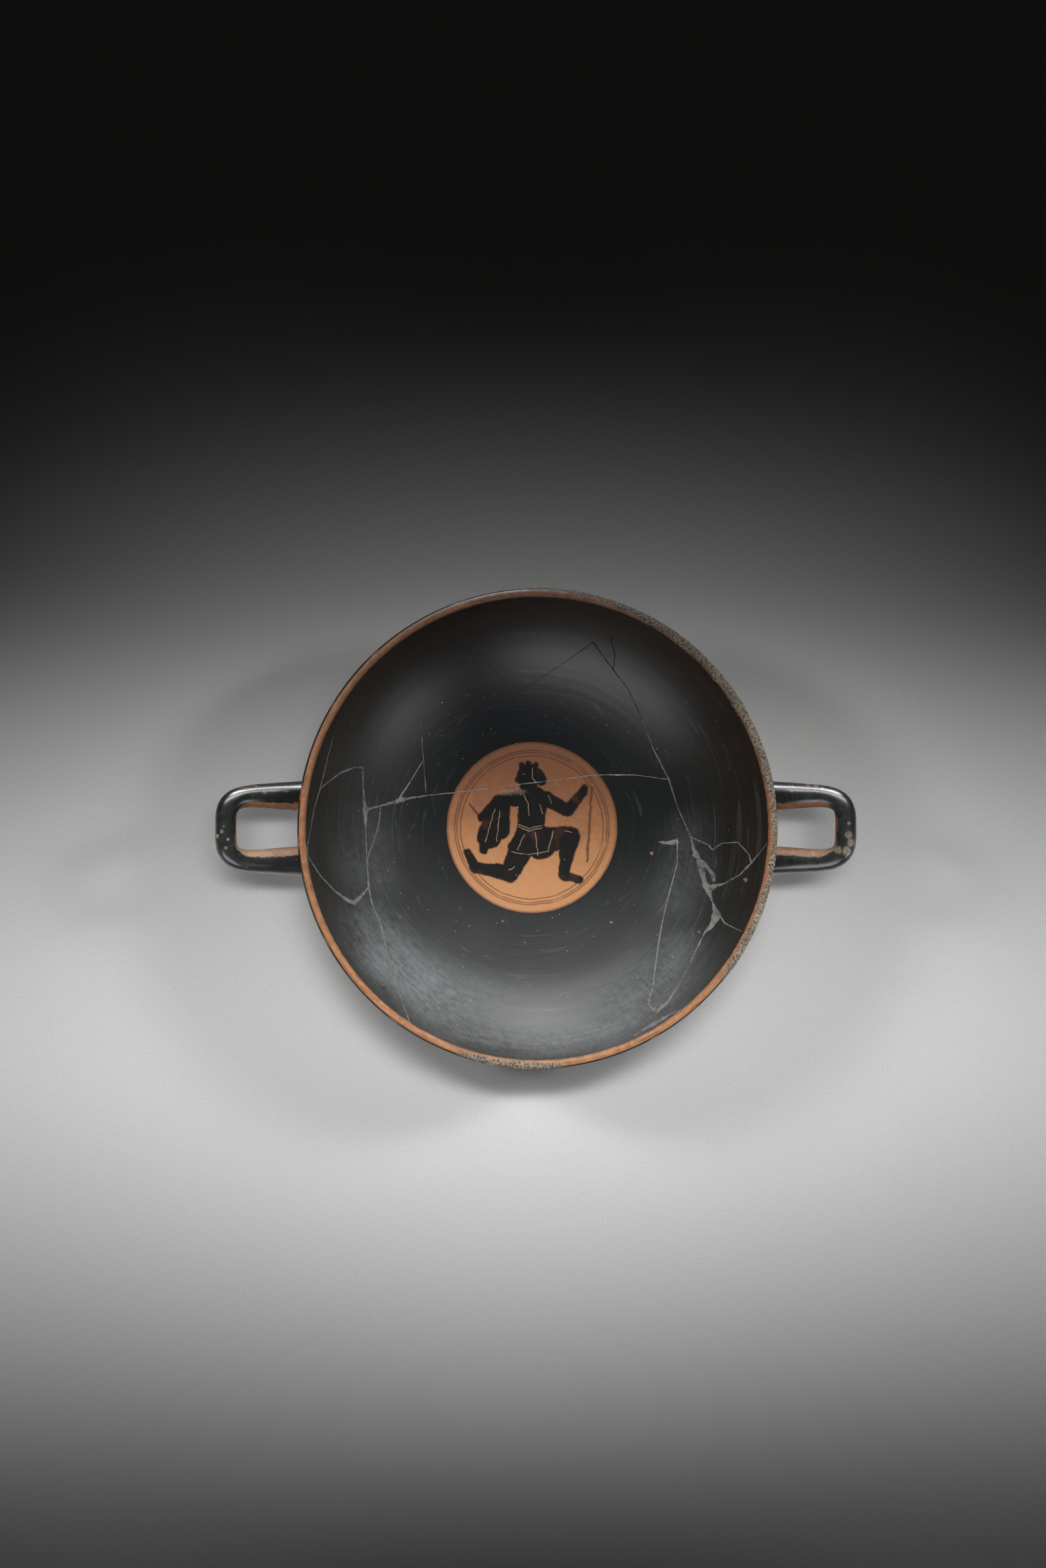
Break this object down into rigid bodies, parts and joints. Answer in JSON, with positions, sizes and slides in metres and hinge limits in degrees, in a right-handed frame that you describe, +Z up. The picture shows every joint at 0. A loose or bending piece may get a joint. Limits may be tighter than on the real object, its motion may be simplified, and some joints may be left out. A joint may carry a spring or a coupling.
{
  "type": "greek kylix cup",
  "caption": "Broad shallow stemmed drinking cup with looped side handles, a spreading foot, worn black gloss and a painted roundel in the bowl.",
  "frame": {"origin": "on the cup's axis, on the surface that its foot stands on", "axes": "+Z up along the axis of the bowl, stem and foot; +X towards one handle and -X towards the other; +Y is the upper side of the roundel's picture"},
  "size_m": [0.2682, 0.2, 0.08],
  "materials": {
    "black_gloss": "satin black slip gloss over fired orange clay, worn and scratched, with bare clay on the lip, inside the handle loops, under the foot and in the painted roundel",
    "mend_fill": "matt grey filler along the glued joins and in the small losses",
    "lime_crust": "matt granular sandy burial crust"
  },
  "bodies": {
    "root": {"kylix": "black_gloss"}
  },
  "joints": []
}
